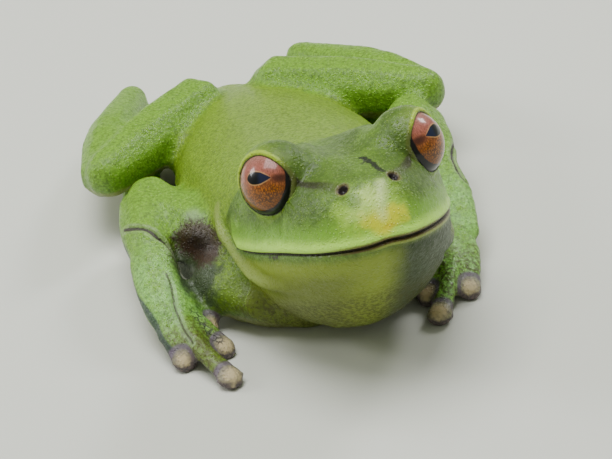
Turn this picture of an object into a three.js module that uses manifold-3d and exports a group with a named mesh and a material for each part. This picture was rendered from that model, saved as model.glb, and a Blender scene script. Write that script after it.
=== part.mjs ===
// A tree frog resting on the ground with its head raised and its limbs folded in, life size.
// Millimetres, Z up. The frog faces -Y, so its own right side is on -X, and it rests on Z = 0.
// The body is one smooth form from snout to vent, divided by thin cuts along the mouth and the neck;
// each limb segment, finger and toe is a smooth form of its own, set a thin gap from its neighbour.

import * as THREE from 'three';
import { LoftGeometry } from 'three/addons/geometries/LoftGeometry.js';
import { mergeVertices } from 'three/addons/utils/BufferGeometryUtils.js';
import Module from 'manifold-3d';

// ---- driving dimensions -------------------------------------------------------------------------

const GAP = 0.3;                                  // thin cut between neighbouring pieces

const HEAD_PITCH = THREE.MathUtils.degToRad( 23 ); // the head is held this far above level
const JAW_JOINT_HEIGHT = 9.6;                     // middle of the jaw joints above the ground
const HEAD_LENGTH = 19.2;                         // jaw joint to the tip of the snout
const HEAD_HALF_WIDTH = 10.4;                     // at the corners of the mouth
const SNOUT_ROUNDNESS = 1.9;                      // plan of the mouth, as a power curve
const NECK_STATION = 2.6;                         // behind the jaw joint, where head meets trunk

const EYE_RADIUS = 3.35;
const EYE_SIDE = 6.6;                             // from the middle line to the middle of the eye
const EYE_FRONT = 8.4;                            // ahead of the jaw joint
const EYE_RISE = 6.45;                            // above the line of the mouth
const EYE_TURN = THREE.MathUtils.degToRad( 47 );  // each eye looks this far off the middle line
const EYE_LIFT = THREE.MathUtils.degToRad( 4 );   // and this far above the head's own level
const LID_RADIUS = 3.82;                          // the fleshy dome that holds the eye
const LID_SET_BACK = 0.12;                        // the dome's centre lies this far behind the eye's
const APERTURE_RADIUS = 2.9;                      // the opening of the lids

const NOSTRIL_SIDE = 2.4;
const NOSTRIL_FRONT = 16.9;
const NOSTRIL_RISE = 5.1;
const NOSTRIL_RADIUS = 0.42;

// Profiles of the head against the distance behind the jaw joint (negative = ahead of it).
const CROWN = [ [ - 19.1, 1.2 ], [ - 18.6, 3.2 ], [ - 17.9, 4.6 ], [ - 17, 5.6 ], [ - 15, 6.4 ], [ - 11, 7.2 ], [ - 6, 7.9 ], [ - 2, 8.2 ], [ 2.6, 7.9 ] ];
const SQUARENESS = [ [ - 19.1, 2.3 ], [ - 13, 2.6 ], [ - 7, 3.1 ], [ - 1, 2.6 ], [ 2.6, 2.2 ] ];   // of the crown's section
const BROW_SIDE = 4.8;                            // where the crown is fullest, from the middle line
const BROW_SPREAD = 2.6;                          // how far that fullness reaches to each side
const BROW = [ [ - 19.1, 0 ], [ - 13, 0 ], [ - 11, 0.07 ], [ - 8.2, 0.16 ], [ - 4.6, 0.15 ], [ - 1.2, 0.07 ], [ 2.6, 0 ] ];   // that fullness, as a share of the height
const THROAT = [ [ - 19.1, - 0.5 ], [ - 18, - 1.9 ], [ - 16, - 3.6 ], [ - 13, - 5.6 ], [ - 10, - 7.4 ], [ - 6, - 9.4 ], [ - 2, - 10.2 ], [ 2.6, - 9.5 ] ];

// Profiles of the trunk against the distance along the ground from the jaw joint.
const BACK = [ [ 8, 14.9 ], [ 13, 13.2 ], [ 19, 11.5 ], [ 25, 10.1 ], [ 31, 8.6 ], [ 36, 6.9 ], [ 40, 5.2 ], [ 43, 3.6 ] ];
const BELLY = [ [ 8, - 0.4 ], [ 30, - 0.4 ], [ 36, 0.1 ], [ 40, 0.8 ], [ 43, 1.8 ] ];
const FLANK = [ [ 8, 11.4 ], [ 13, 12.0 ], [ 19, 11.6 ], [ 25, 10.6 ], [ 31, 9.0 ], [ 36, 6.8 ], [ 40, 4.4 ], [ 43, 1.6 ] ];
const FLANK_LEVEL = 0.38;                         // height of the widest line, as a share of the depth

const FLANK_END = 43;                             // the vent
const CHEST = [ 13.5, 10.6, 5.4 ];                // half width, half length and half height of the chest swelling
const CHEST_PLACE = [ - 0.7, 5.6, 3.3 ];
const ARMPIT = [ 1.5, 2.7, 2.7 ];                 // half sizes of the loose skin behind the right arm
const ARMPIT_PLACE = [ - 13.0, 10.2, 3.9 ];

const FINGER_HALF = 1.1;                         // half the width of a finger
const DISC_HALF = 1.5;                            // half the width of the largest finger disc
const TOE_HALF = 0.85;
const DISC_HEIGHT = 0.78;                         // centre of every disc above the ground
const DISC_THICK = 0.85;                          // half the thickness of a disc, before it is flattened

// ---- helpers ------------------------------------------------------------------------------------

const wasm = await Module();
wasm.setup();

// A table of [ position, value ] pairs read as a smooth curve without overshoot.
function curve( table ) {

	const slope = table.slice( 1 ).map( ( p, i ) => ( p[ 1 ] - table[ i ][ 1 ] ) / ( p[ 0 ] - table[ i ][ 0 ] ) );
	const tangent = table.map( ( p, i ) => {

		if ( i === 0 ) return slope[ 0 ];
		if ( i === table.length - 1 ) return slope[ i - 1 ];
		if ( slope[ i - 1 ] * slope[ i ] <= 0 ) return 0;
		return 2 * slope[ i - 1 ] * slope[ i ] / ( slope[ i - 1 ] + slope[ i ] );

	} );

	return ( x ) => {

		let i = 0;
		while ( i < table.length - 2 && x > table[ i + 1 ][ 0 ] ) i ++;
		const span = table[ i + 1 ][ 0 ] - table[ i ][ 0 ];
		const t = THREE.MathUtils.clamp( ( x - table[ i ][ 0 ] ) / span, 0, 1 );
		const h = t * t * ( 3 - 2 * t );
		return table[ i ][ 1 ] * ( 1 - h ) + table[ i + 1 ][ 1 ] * h
			+ span * ( tangent[ i ] * t * ( 1 - t ) * ( 1 - t ) - tangent[ i + 1 ] * t * t * ( 1 - t ) );

	};

}

// A point given in the head's own frame (origin between the jaw joints, mouth line level).
function fromHead( x, y, z ) {

	return new THREE.Vector3( x, y, z ).applyAxisAngle( new THREE.Vector3( 1, 0, 0 ), - HEAD_PITCH ).add( new THREE.Vector3( 0, 0, JAW_JOINT_HEIGHT ) );

}

function solidOf( geometry ) {

	const plain = new THREE.BufferGeometry();
	plain.setAttribute( 'position', geometry.getAttribute( 'position' ) );
	plain.setIndex( geometry.getIndex() );
	const merged = mergeVertices( plain, 1e-4 );
	return new wasm.Manifold( new wasm.Mesh( {
		numProp: 3,
		vertProperties: new Float32Array( merged.attributes.position.array ),
		triVerts: new Uint32Array( merged.index.array ),
	} ) );

}

function geometryOf( solid ) {

	const mesh = solid.getMesh();
	const geometry = new THREE.BufferGeometry();
	geometry.setAttribute( 'position', new THREE.BufferAttribute( new Float32Array( mesh.vertProperties ), 3 ) );
	geometry.setIndex( new THREE.BufferAttribute( new Uint32Array( mesh.triVerts ), 1 ) );
	geometry.computeVertexNormals();
	return geometry;

}

// A limb segment, finger or toe: an oval section carried along a smooth path, with rounded ends.
// path = joints, half = [ half width, half height ] at each joint, grow = clearance added all round.
function limb( { path, half, steps = 5, points = 8, roundStart = 0.7, roundEnd = 0.8 }, grow = 0 ) {

	const line = new THREE.CatmullRomCurve3( path.map( ( p ) => new THREE.Vector3( ...p ) ) );
	const size = new THREE.CatmullRomCurve3( half.map( ( h ) => new THREE.Vector3( h[ 0 ] + grow, h[ 1 ] + grow, 0 ) ) );
	const up = new THREE.Vector3( 0, 0, 1 );
	const sections = [];

	const section = ( t, along, scale ) => {

		const forward = line.getTangent( t );
		const side = new THREE.Vector3().crossVectors( up, forward ).normalize();
		const rise = new THREE.Vector3().crossVectors( forward, side );
		const centre = line.getPoint( t ).addScaledVector( forward, along );
		const s = size.getPoint( t );
		const ring = [];

		for ( let k = 0; k < points; k ++ ) {

			const angle = ( k + 0.5 ) / points * Math.PI * 2;
			ring.push( centre.clone()
				.addScaledVector( side, Math.cos( angle ) * s.x * scale )
				.addScaledVector( rise, Math.sin( angle ) * s.y * scale ) );

		}

		sections.push( ring );

	};

	const start = size.getPoint( 0 ).x * roundStart;
	const end = size.getPoint( 1 ).x * roundEnd;
	section( 0, - 0.85 * start, 0.55 );
	for ( let i = 0; i <= steps; i ++ ) section( i / steps, 0, 1 );
	for ( const a of [ 0.75, 1.3 ] ) section( 1, Math.sin( a ) * end, Math.cos( a ) );

	return solidOf( new LoftGeometry( sections, { capStart: true, capEnd: true } ) );

}

function block( width, length, height, x, y, z ) {

	return solidOf( new THREE.BoxGeometry( width, length, height ).translate( x, y, z ) );

}

// ---- the body, snout to vent --------------------------------------------------------------------

const crown = curve( CROWN );
const throat = curve( THROAT );
const back = curve( BACK );
const belly = curve( BELLY );
const flank = curve( FLANK );
const squareness = curve( SQUARENESS );
const brow = curve( BROW );

// One station of the body: its top, bottom and widest points, half width and squareness.
function headStation( y ) {

	const width = HEAD_HALF_WIDTH * Math.sqrt( Math.max( 0.004, 1 - Math.pow( Math.max( 0, - y ) / HEAD_LENGTH, SNOUT_ROUNDNESS ) ) );
	return [ ...pair( fromHead( 0, y, crown( y ) ) ), ...pair( fromHead( 0, y, throat( y ) ) ), ...pair( fromHead( 0, y, 0 ) ), width, squareness( y ), 1.9, brow( y ) ];

}

function trunkStation( y ) {

	const level = belly( y ) + ( back( y ) - belly( y ) ) * FLANK_LEVEL;
	return [ y, back( y ), y, belly( y ), y, level, flank( y ), 2.1, 2.6, 0 ];

}

function pair( point ) {

	return [ point.y, point.z ];

}

function bodySections( grow ) {

	const stations = [ - 19.1, - 18.7, - 18, - 17, - 15.6, - 13.8, - 11.6, - 9.4, - 7.2, - 4.8, - 2.3, 0.3, 2.6 ].map( headStation )
		.concat( [ 10, 13.5, 17, 20.5, 24, 27.5, 31, 34, 37, 39.5, 41.6, FLANK_END ].map( trunkStation ) );

	// two more stations ease the fan between the tilted head and the level trunk
	const before = stations[ 12 ], after = stations[ 13 ];
	const ease = ( t ) => before.map( ( v, i ) => {

		const early = v - stations[ 11 ][ i ], late = stations[ 14 ][ i ] - after[ i ];
		const h = t * t * ( 3 - 2 * t );
		return v * ( 1 - h ) + after[ i ] * h + 1.4 * early * t * ( 1 - t ) * ( 1 - t ) - 1.4 * late * t * t * ( 1 - t );

	} );

	stations.splice( 13, 0, ease( 0.34 ), ease( 0.68 ) );

	return stations.map( ( [ topY, topZ, lowY, lowZ, midY, midZ, width, squareTop, squareLow, fullness ] ) => {

		const ring = [];
		const points = 20;

		for ( let k = 0; k < points; k ++ ) {

			const angle = k / points * Math.PI * 2;
			const c = Math.cos( angle ), s = Math.sin( angle );
			const power = 2 / ( s >= 0 ? squareTop : squareLow );
			const across = Math.pow( Math.abs( c ), power ) * width;
			const bulge = s > 0 ? 1 + fullness * Math.exp( - Math.pow( ( across - BROW_SIDE ) / BROW_SPREAD, 2 ) ) : 1;
			const reach = Math.pow( Math.abs( s ), power ) * bulge;
			const endY = s >= 0 ? topY : lowY, endZ = s >= 0 ? topZ + grow : lowZ - grow;
			ring.push( new THREE.Vector3(
				- Math.sign( c ) * across * ( 1 + grow / width ),
				midY + ( endY - midY ) * reach,
				midZ + ( endZ - midZ ) * reach ) );

		}

		return ring;

	} );

}

const groundBlock = block( 200, 200, 20, 0, 0, - 10 );
const rawBody = solidOf( new LoftGeometry( bodySections( 0 ), { capStart: true, capEnd: true } ) );
const grownBody = solidOf( new LoftGeometry( bodySections( GAP ), { capStart: true, capEnd: true } ) );

// ---- eyes and the domes that hold them ----------------------------------------------------------

function eyeball( side, radius, setBack ) {

	const gaze = new THREE.Vector3( side * Math.sin( EYE_TURN ) * Math.cos( EYE_LIFT ), - Math.cos( EYE_TURN ) * Math.cos( EYE_LIFT ), Math.sin( EYE_LIFT ) );
	const geometry = new THREE.SphereGeometry( radius, 14, 10 );
	geometry.applyQuaternion( new THREE.Quaternion().setFromUnitVectors( new THREE.Vector3( 0, 1, 0 ), gaze ) );
	geometry.translate( side * EYE_SIDE - gaze.x * setBack, - EYE_FRONT - gaze.y * setBack, EYE_RISE - gaze.z * setBack );
	geometry.rotateX( - HEAD_PITCH );
	geometry.translate( 0, 0, JAW_JOINT_HEIGHT );
	return solidOf( geometry );

}

// The opening between the lids, cut along the eye's own line of sight.
function aperture( side ) {

	const gaze = new THREE.Vector3( side * Math.sin( EYE_TURN ) * Math.cos( EYE_LIFT ), - Math.cos( EYE_TURN ) * Math.cos( EYE_LIFT ), Math.sin( EYE_LIFT ) );
	const geometry = new THREE.CylinderGeometry( APERTURE_RADIUS * 1.1, APERTURE_RADIUS, 4, 14 );
	geometry.translate( 0, 3.2, 0 );
	geometry.applyQuaternion( new THREE.Quaternion().setFromUnitVectors( new THREE.Vector3( 0, 1, 0 ), gaze ) );
	geometry.translate( side * EYE_SIDE, - EYE_FRONT, EYE_RISE );
	geometry.rotateX( - HEAD_PITCH );
	geometry.translate( 0, 0, JAW_JOINT_HEIGHT );
	return solidOf( geometry );

}

function nostril( side ) {

	const geometry = new THREE.SphereGeometry( NOSTRIL_RADIUS, 7, 5 );
	const place = fromHead( side * NOSTRIL_SIDE, - NOSTRIL_FRONT, NOSTRIL_RISE );
	return solidOf( geometry.translate( place.x, place.y, place.z ) );

}

// A rounded swelling of the body, grown by the gap where a neighbour is cut clear of it.
function swelling( sizes, place, segments, grow ) {

	const geometry = new THREE.SphereGeometry( 1, ...segments ).rotateX( Math.PI / 2 );
	return solidOf( geometry.scale( ...sizes.map( ( r ) => r + grow ) ).translate( ...place ) );

}

const chest = swelling( CHEST, CHEST_PLACE, [ 16, 9 ], 0 ).add( swelling( ARMPIT, ARMPIT_PLACE, [ 8, 5 ], 0 ) );
const chestClear = swelling( CHEST, CHEST_PLACE, [ 16, 9 ], GAP ).add( swelling( ARMPIT, ARMPIT_PLACE, [ 8, 5 ], GAP ) );
const solids = {};
let body = rawBody.add( chest ).subtract( groundBlock );

for ( const side of [ - 1, 1 ] ) {

	body = body.add( eyeball( side, LID_RADIUS, LID_SET_BACK ) );

}

for ( const side of [ - 1, 1 ] ) {

	body = body.subtract( eyeball( side, EYE_RADIUS + 0.25, 0 ) ).subtract( aperture( side ) ).subtract( nostril( side ) );
	solids[ side < 0 ? 'eye_right' : 'eye_left' ] = eyeball( side, EYE_RADIUS, 0 );

}

// ---- the body divided: head, lower jaw with the throat, trunk -------------------------------------

// Blocks in the head's own frame, turned with the head.
function headBlock( y0, y1, z0, z1 ) {

	const geometry = new THREE.BoxGeometry( 60, y1 - y0, z1 - z0 );
	geometry.translate( 0, ( y0 + y1 ) / 2, ( z0 + z1 ) / 2 );
	geometry.rotateX( - HEAD_PITCH );
	geometry.translate( 0, 0, JAW_JOINT_HEIGHT );
	return solidOf( geometry );

}

const neckFront = NECK_STATION - GAP / 2, neckBack = NECK_STATION + GAP / 2;
solids.head = body.intersect( headBlock( - 40, neckFront, GAP / 2, 40 ) );
solids.lower_jaw = body.intersect( headBlock( - 40, neckFront, - 40, - GAP / 2 ) );
solids.trunk = body.intersect( headBlock( neckBack, 90, - 60, 60 ) );

// ---- limbs --------------------------------------------------------------------------------------

const bodyClear = grownBody.add( chestClear );

// Adds one segment, cut clear of the body and of every neighbour named, and returns its grown form.
function segment( name, shape, clear = [] ) {

	let solid = limb( shape ).subtract( groundBlock );
	for ( const other of clear ) solid = solid.subtract( other );
	solids[ name ] = largest( solid );
	return limb( shape, GAP );

}

function largest( solid ) {

	return solid.decompose().reduce( ( a, b ) => ( b.volume() > a.volume() ? b : a ) );

}

// The two arms share their proportions; the right hand reaches out, the left is drawn in further.
const ARMS = {
	right: {
		side: - 1,
		shoulder: [ 8.2, 6.5, 5.8 ], elbow: [ 14.5, 19.6, 5.7 ], wrist: [ 17.0, 10.0, 5.9 ], palm: [ 17.5, 5.6, 4.5 ], knuckles: [ 17.2, 1.6, 3.1 ],
		fingers: [
			[ [ 15.2, 4.6, 3.0 ], [ 14.4, 3.0, 2.0 ], [ 14.0, 1.3, DISC_HEIGHT ] ],
			[ [ 15.7, 1.8, 2.7 ], [ 14.8, - 0.6, 2.1 ], [ 13.7, - 2.9, DISC_HEIGHT ] ],
			[ [ 16.6, 0.6, 3.0 ], [ 16.3, - 3.4, 2.3 ], [ 14.5, - 8.1, DISC_HEIGHT ] ],
			[ [ 18.1, 1.8, 3.1 ], [ 18.5, - 0.6, 2.3 ], [ 17.7, - 3.2, DISC_HEIGHT ] ],
		],
	},
	left: {
		side: 1,
		shoulder: [ 8.2, 6.5, 7.6 ], elbow: [ 14.5, 20.6, 6.6 ], wrist: [ 13.7, 10.8, 5.8 ], palm: [ 13.5, 6.4, 4.4 ], knuckles: [ 12.2, 2.2, 3.0 ],
		fingers: [
			[ [ 10.2, 4.2, 3.2 ], [ 9.6, 1.6, 2.1 ], [ 9.4, - 0.6, DISC_HEIGHT ] ],
			[ [ 10.3, 1.9, 2.8 ], [ 8.9, - 1.0, 2.0 ], [ 7.2, - 3.8, DISC_HEIGHT ] ],
			[ [ 11.4, 0.8, 2.9 ], [ 9.9, - 3.2, 2.2 ], [ 7.0, - 7.4, DISC_HEIGHT ] ],
			[ [ 13.1, 2.0, 3.0 ], [ 12.7, - 1.4, 2.1 ], [ 11.1, - 4.6, DISC_HEIGHT ] ],
		],
	},
};

const FINGER_DISC = [ 0.8, 1.0, 1.0, 0.95 ];      // size of each disc against the largest

for ( const [ hand, arm ] of Object.entries( ARMS ) ) {

	const at = ( p ) => [ p[ 0 ] * arm.side, p[ 1 ], p[ 2 ] ];
	const between = ( a, b, t, bulge = [ 0, 0, 0 ] ) => at( a.map( ( v, i ) => v + ( b[ i ] - v ) * t + bulge[ i ] ) );

	const upper = {
		path: [ at( arm.shoulder ), between( arm.shoulder, arm.elbow, 0.5, [ 0.7, - 0.4, 0 ] ), at( arm.elbow ) ],
		half: [ [ 3.2, 3.4 ], [ 2.8, 3.1 ], [ 2.7, 2.8 ] ],
	};
	const upperClear = segment( 'upper_arm_' + hand, upper, [ bodyClear ] );

	const fore = {
		path: [ between( arm.elbow, arm.wrist, 0.14, [ 0.25, 0, 0 ] ), between( arm.elbow, arm.wrist, 0.5, [ 0.2, 0, 0 ] ), at( arm.wrist ) ],
		half: [ [ 2.9, 2.9 ], [ 3.0, 2.9 ], [ 2.35, 2.1 ] ], roundEnd: 0.5,
	};
	const foreClear = segment( 'forearm_' + hand, fore, [ bodyClear, upperClear ] );

	const palm = {
		path: [ between( arm.wrist, arm.palm, 0.2 ), at( arm.palm ), at( arm.knuckles ) ],
		half: [ [ 2.3, 1.9 ], [ 2.45, 1.7 ], [ 2.75, 1.25 ] ], roundEnd: 0.55,
	};
	const palmClear = segment( 'hand_' + hand, palm, [ bodyClear, upperClear, foreClear ] );

	const done = [];
	for ( const digit of [ 3, 4, 2, 1 ] ) {

		const [ base, middle, disc ] = arm.fingers[ digit - 1 ];
		const scale = FINGER_DISC[ digit - 1 ];
		const finger = {
			path: [ at( base ), at( middle ), between( middle, disc, 0.66, [ 0, 0, 0.1 ] ), at( disc ) ],
			half: [ [ FINGER_HALF, 1.0 ], [ FINGER_HALF * 0.95, 0.95 ], [ FINGER_HALF * 0.95, 0.8 ], [ DISC_HALF * scale, DISC_THICK ] ],
			steps: 4, points: 7,
		};
		done.push( segment( `finger_${ digit }_${ hand }`, finger, [ bodyClear, upperClear, foreClear, palmClear, ...done ] ) );

	}

	arm.clear = [ upperClear, foreClear, palmClear, ...done ];

}

// Legs, folded: thigh forward to the knee, shank back to the heel, foot forward again beneath them.
const LEG = {
	hip: [ 4.2, 36.6, 5.2 ], knee: [ 17.6, 24.4, 7.2 ], heel: [ 9.8, 46.2, 3.1 ], ankle: [ 12.2, 34.2, 2.1 ], ball: [ 13.9, 26.4, 1.6 ],
	toes: [
		[ [ 12.0, 27.6, 1.5 ], [ 11.4, 25.2, 1.3 ], [ 11.0, 22.8, DISC_HEIGHT ] ],
		[ [ 12.8, 26.6, 1.5 ], [ 12.2, 23.6, 1.4 ], [ 11.9, 20.2, DISC_HEIGHT ] ],
		[ [ 13.7, 26.0, 1.5 ], [ 13.7, 22.0, 1.5 ], [ 13.4, 17.6, DISC_HEIGHT ] ],
		[ [ 14.8, 25.8, 1.5 ], [ 15.5, 20.8, 1.5 ], [ 15.7, 15.6, DISC_HEIGHT ] ],
		[ [ 15.7, 26.6, 1.5 ], [ 16.4, 23.6, 1.4 ], [ 16.4, 20.6, DISC_HEIGHT ] ],
	],
};

const TOE_DISC = [ 0.72, 0.78, 0.84, 0.88, 0.84 ];

for ( const [ foot, side ] of [ [ 'right', - 1 ], [ 'left', 1 ] ] ) {

	const at = ( p ) => [ p[ 0 ] * side, p[ 1 ], p[ 2 ] ];
	const between = ( a, b, t, bulge = [ 0, 0, 0 ] ) => at( a.map( ( v, i ) => v + ( b[ i ] - v ) * t + bulge[ i ] ) );
	const armClear = ARMS[ foot ].clear;

	const thigh = {
		path: [ at( LEG.hip ), between( LEG.hip, LEG.knee, 0.5, [ 0.3, 0, 0.2 ] ), at( LEG.knee ) ],
		half: [ [ 3.9, 3.7 ], [ 3.5, 3.4 ], [ 2.5, 2.6 ] ],
	};
	const thighClear = segment( 'thigh_' + foot, thigh, [ bodyClear, ...armClear ] );

	const shank = {
		path: [ between( LEG.knee, LEG.heel, 0.06, [ 0.6, 0, - 0.5 ] ), between( LEG.knee, LEG.heel, 0.42, [ 0.9, 0, 0 ] ), at( LEG.heel ) ],
		half: [ [ 2.5, 2.6 ], [ 2.9, 2.8 ], [ 1.7, 1.8 ] ],
	};
	const shankClear = segment( 'shank_' + foot, shank, [ bodyClear, ...armClear, thighClear ] );

	const tarsus = {
		path: [ between( LEG.heel, LEG.ankle, 0.08, [ - 0.2, 0, - 0.6 ] ), between( LEG.heel, LEG.ankle, 0.55, [ 0, 0, - 0.2 ] ), at( LEG.ankle ) ],
		half: [ [ 1.7, 1.5 ], [ 1.8, 1.5 ], [ 1.9, 1.4 ] ], steps: 4, points: 8, roundEnd: 0.5,
	};
	const tarsusClear = segment( 'tarsus_' + foot, tarsus, [ bodyClear, thighClear, shankClear ] );

	const sole = {
		path: [ between( LEG.ankle, LEG.ball, 0.1 ), between( LEG.ankle, LEG.ball, 0.55 ), at( LEG.ball ) ],
		half: [ [ 1.8, 1.3 ], [ 2.2, 1.2 ], [ 2.6, 1.1 ] ], steps: 4, points: 8, roundEnd: 0.4,
	};
	const soleClear = segment( 'foot_' + foot, sole, [ bodyClear, thighClear, shankClear, tarsusClear ] );

	const done = [];
	for ( const digit of [ 4, 3, 5, 2, 1 ] ) {

		const [ base, middle, disc ] = LEG.toes[ digit - 1 ];
		const scale = TOE_DISC[ digit - 1 ];
		const toe = {
			path: [ at( base ), at( middle ), between( middle, disc, 0.7 ), at( disc ) ],
			half: [ [ TOE_HALF, 0.85 ], [ TOE_HALF * 0.92, 0.8 ], [ TOE_HALF * 0.92, 0.75 ], [ DISC_HALF * scale, DISC_THICK ] ],
			steps: 3, points: 6,
		};
		done.push( segment( `toe_${ digit }_${ foot }`, toe, [ bodyClear, ...armClear, thighClear, shankClear, tarsusClear, soleClear, ...done ] ) );

	}

}

// ---- the finished group, its origin under the middle of the frog ----------------------------------

const LOOKS = {
	eye: { color: 0xb06a4a, roughness: 0.15 },
	lower_jaw: { color: 0x9aa06a, roughness: 0.5 },
	finger: { color: 0x9aa886, roughness: 0.5 },
	toe: { color: 0x9aa886, roughness: 0.5 },
	skin: { color: 0x7f9c4c, roughness: 0.5 },
};

const group = new THREE.Group();
group.name = 'tree_frog';

for ( const [ name, solid ] of Object.entries( solids ) ) {

	const kind = Object.keys( LOOKS ).find( ( key ) => name.startsWith( key ) ) || 'skin';
	const mesh = new THREE.Mesh( geometryOf( solid ), new THREE.MeshStandardMaterial( { ...LOOKS[ kind ], metalness: 0 } ) );
	mesh.name = name;
	group.add( mesh );

}

const bounds = new THREE.Box3().setFromObject( group );
for ( const mesh of group.children ) {

	mesh.geometry.translate( - ( bounds.min.x + bounds.max.x ) / 2, - ( bounds.min.y + bounds.max.y ) / 2, 0 );

}

export default group;
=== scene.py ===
# A tree frog at rest with its head raised and its limbs folded in, made as a still museum model.
# One skin covers the whole frog, and two eyes of cast resin sit in it. Lengths are in metres.
import math

import bmesh
import bpy
import numpy as np
from mathutils import Matrix, Vector, kdtree
from mathutils.bvhtree import BVHTree


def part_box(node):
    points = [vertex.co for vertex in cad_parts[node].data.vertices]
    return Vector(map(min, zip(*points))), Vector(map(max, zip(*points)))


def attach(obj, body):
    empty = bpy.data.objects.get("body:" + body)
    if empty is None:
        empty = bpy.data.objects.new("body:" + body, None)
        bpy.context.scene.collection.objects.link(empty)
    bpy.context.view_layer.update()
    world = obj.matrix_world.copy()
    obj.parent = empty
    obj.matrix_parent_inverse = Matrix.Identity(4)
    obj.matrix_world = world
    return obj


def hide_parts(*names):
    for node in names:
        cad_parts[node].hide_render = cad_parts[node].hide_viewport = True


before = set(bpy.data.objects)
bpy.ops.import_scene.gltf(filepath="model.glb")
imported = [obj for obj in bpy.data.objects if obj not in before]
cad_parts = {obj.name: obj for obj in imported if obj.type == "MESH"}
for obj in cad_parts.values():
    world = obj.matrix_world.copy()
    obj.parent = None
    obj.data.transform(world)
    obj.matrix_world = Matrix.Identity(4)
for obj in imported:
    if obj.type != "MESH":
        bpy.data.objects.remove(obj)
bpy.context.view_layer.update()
MM = 0.001


# Camera. It looks down on the head from the front, a little to the frog's right, and is rolled
# a few degrees. It is aimed by the head: the frame's eyes give the place of the head on the floor.
HEAD_PITCH = math.radians(23.0)
EYE_SIDE, EYE_FRONT, EYE_RISE = 6.6, 8.4, 6.45
head_turn = Matrix.Rotation(-HEAD_PITCH, 3, "X")
eye_corners = [corner for name in ("eye_right", "eye_left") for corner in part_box(name)]
eyes_middle = sum(eye_corners, Vector()) / 4
jaw_joint = eyes_middle - head_turn @ Vector((0.0, -EYE_FRONT, EYE_RISE)) * MM

camera_turn, camera_rise, camera_roll = (math.radians(a) for a in (-12.5, 7.6, 13.36))
FRAME_WIDTH = 612.0
FOCAL_LENGTH = 2776.9  # in the same pixels
BROW_OFF_CENTRE = (36.9, 67.5)  # the brow point stands this far right of and above the middle, in pixels
CAMERA_DISTANCE = 0.260
back = Vector((
    math.sin(camera_turn) * math.cos(camera_rise),
    -math.cos(camera_turn) * math.cos(camera_rise),
    math.sin(camera_rise),
))
level = Vector((math.cos(camera_turn), math.sin(camera_turn), 0.0))
rise = back.cross(level)
across = level * math.cos(camera_roll) - rise * math.sin(camera_roll)
upward = level * math.sin(camera_roll) + rise * math.cos(camera_roll)
square_on = Matrix((across, upward, back)) @ head_turn.transposed()
aim = Vector((0.0, 0.0, -1.0)).rotation_difference(Vector((*BROW_OFF_CENTRE, -FOCAL_LENGTH))).to_matrix()
brow_point = jaw_joint + head_turn @ Vector((0.0, -8.5, 6.6)) * MM

camera = bpy.data.objects.new("camera", bpy.data.cameras.new("camera"))
bpy.context.scene.collection.objects.link(camera)
camera.data.sensor_width = 36.0
camera.data.lens = camera.data.sensor_width * FOCAL_LENGTH / FRAME_WIDTH
camera.data.clip_start = 0.02
camera.data.clip_end = 20.0
camera_place = brow_point + square_on.transposed() @ Vector((0.0, 0.0, CAMERA_DISTANCE))
camera.matrix_world = Matrix.Translation(camera_place) @ (aim @ square_on).transposed().to_4x4()
bpy.context.scene.camera = camera


# Floor and studio. A plain pale board under the frog, lit by a wide softbox overhead, two smaller ones
# behind for the shine along the head and on the eyes, and an even pale surround.
def colour(code):
    channels = [int(code[i:i + 2], 16) / 255.0 for i in (1, 3, 5)]
    return tuple(c / 12.92 if c <= 0.04045 else ((c + 0.055) / 1.055) ** 2.4 for c in channels) + (1.0,)


# keys in small letters are the node's own settings; the others name or number its sockets, so that
# in a Map Range 1 and 2 are the values that give 3 and 4
def add(tree, kind, settings, links=None):
    node = tree.nodes.new("ShaderNode" + kind)
    for key, value in settings.items():
        if isinstance(key, str) and key.islower():
            setattr(node, key, value)
        else:
            node.inputs[key].default_value = value
    for key, source in (links or {}).items():
        tree.links.new(source, node.inputs[key])
    return node


floor_mesh = bpy.data.meshes.new("floor")
shape = bmesh.new()
bmesh.ops.create_grid(shape, x_segments=2, y_segments=2, size=1.5)
shape.to_mesh(floor_mesh)
shape.free()
floor = bpy.data.objects.new("floor", floor_mesh)
bpy.context.scene.collection.objects.link(floor)
# flat emulsion paint: no gloss, so only the frog's soft shadow shows on it
board = bpy.data.materials.new("matt_painted_board")
board.use_nodes = True
painted = board.node_tree.nodes["Principled BSDF"]
painted.inputs["Base Color"].default_value = colour("#d9dbd2")
painted.inputs["Roughness"].default_value = 0.85
floor.data.materials.append(board)

LAMPS_AIM = Vector((0.0, -0.012, 0.010))
for name, place, size, power in (
    ("softbox_over", (-0.04, 0.02, 0.45), 0.30, 2.3),
    ("softbox_left", (-0.40, 0.22, 0.24), 0.14, 0.9),
    ("softbox_right", (0.34, 0.20, 0.30), 0.12, 0.9),
):
    lamp = bpy.data.objects.new(name, bpy.data.lights.new(name, "AREA"))
    bpy.context.scene.collection.objects.link(lamp)
    lamp.data.size = size
    lamp.data.energy = power
    lamp.location = place
    aimed = Vector(place) - LAMPS_AIM
    lamp.rotation_euler = aimed.to_track_quat("Z", "Y").to_euler()
surround = bpy.data.worlds.new("surround")
bpy.context.scene.world = surround
surround.use_nodes = True
surround.node_tree.nodes["Background"].inputs["Color"].default_value = colour("#e4e8d4")
surround.node_tree.nodes["Background"].inputs["Strength"].default_value = 0.42


# Eyes. Each is a ball of clear-coated resin with the iris and the level pupil laid in under the gloss.
# The iris is copper below and pink above, netted with fine dark veins, and black beyond its edge; its top
# is painted lighter as a painted highlight, and the pupil holds a painted dark blue reflection of the sky.
EYE_RADIUS = 3.35
PUPIL_BACK, PUPIL_FRONT, PUPIL_HALF_HEIGHT = -1.36, 1.62, 0.60
IRIS_EDGE = 53.5  # degrees from the iris's axis
VEINS_PER_MM = 5.4
SOFT = {"interpolation_type": "SMOOTHSTEP"}
PUPIL_TURN, PUPIL_LIFT = math.radians(40.0), math.radians(18.0)
IRIS_TURN, IRIS_LIFT = math.radians(51.0), math.radians(15.5)


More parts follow.
